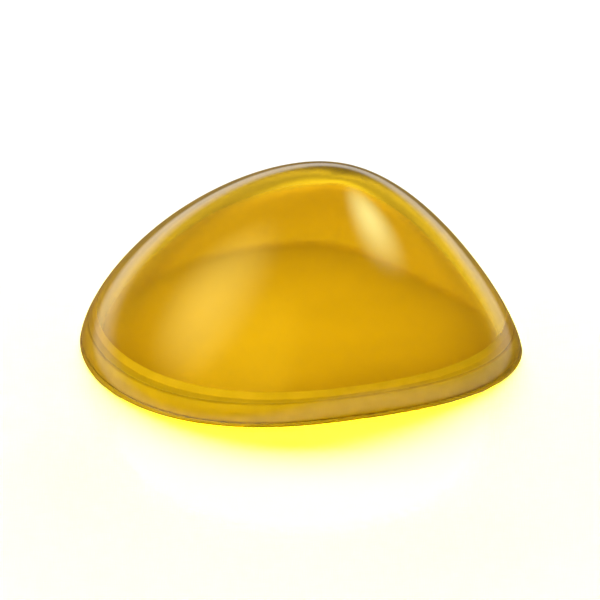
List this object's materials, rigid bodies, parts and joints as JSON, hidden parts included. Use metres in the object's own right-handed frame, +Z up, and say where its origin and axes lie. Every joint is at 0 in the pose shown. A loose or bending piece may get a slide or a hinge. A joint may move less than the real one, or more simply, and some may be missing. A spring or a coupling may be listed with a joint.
{
  "type": "raised pavement marker",
  "caption": "Low three-cornered amber dome stuck to the road surface as a raised pavement marker, with a reflective sheet sealed inside on a backing plate.",
  "frame": {"origin": "on the road surface, under the middle of the marker's length and width", "axes": "+Z up from the road, -Y towards traffic, the tightest corner of the outline towards +X"},
  "size_m": [0.0589, 0.059, 0.025],
  "materials": {
    "lens_shell": "polished, clear, amber right through",
    "shell_bond": "cured structural adhesive, tinted to suit the shell",
    "edge_seal": "cured sealant, tinted to suit the shell",
    "reflector_sheet": "glass-bead reflective sheet, yellow",
    "sheet_adhesive": "clear pressure-sensitive adhesive",
    "backing_plate": "mill finish, stamped",
    "butyl_pad": "tacky butyl, light grey",
    "release_liner": "waxed paper"
  },
  "bodies": {
    "root": {"lens_shell": "lens_shell", "shell_bond": "shell_bond", "edge_seal": "edge_seal", "reflector_sheet": "reflector_sheet", "sheet_adhesive": "sheet_adhesive", "backing_plate": "backing_plate", "butyl_pad": "butyl_pad", "release_liner": "release_liner"}
  },
  "joints": []
}
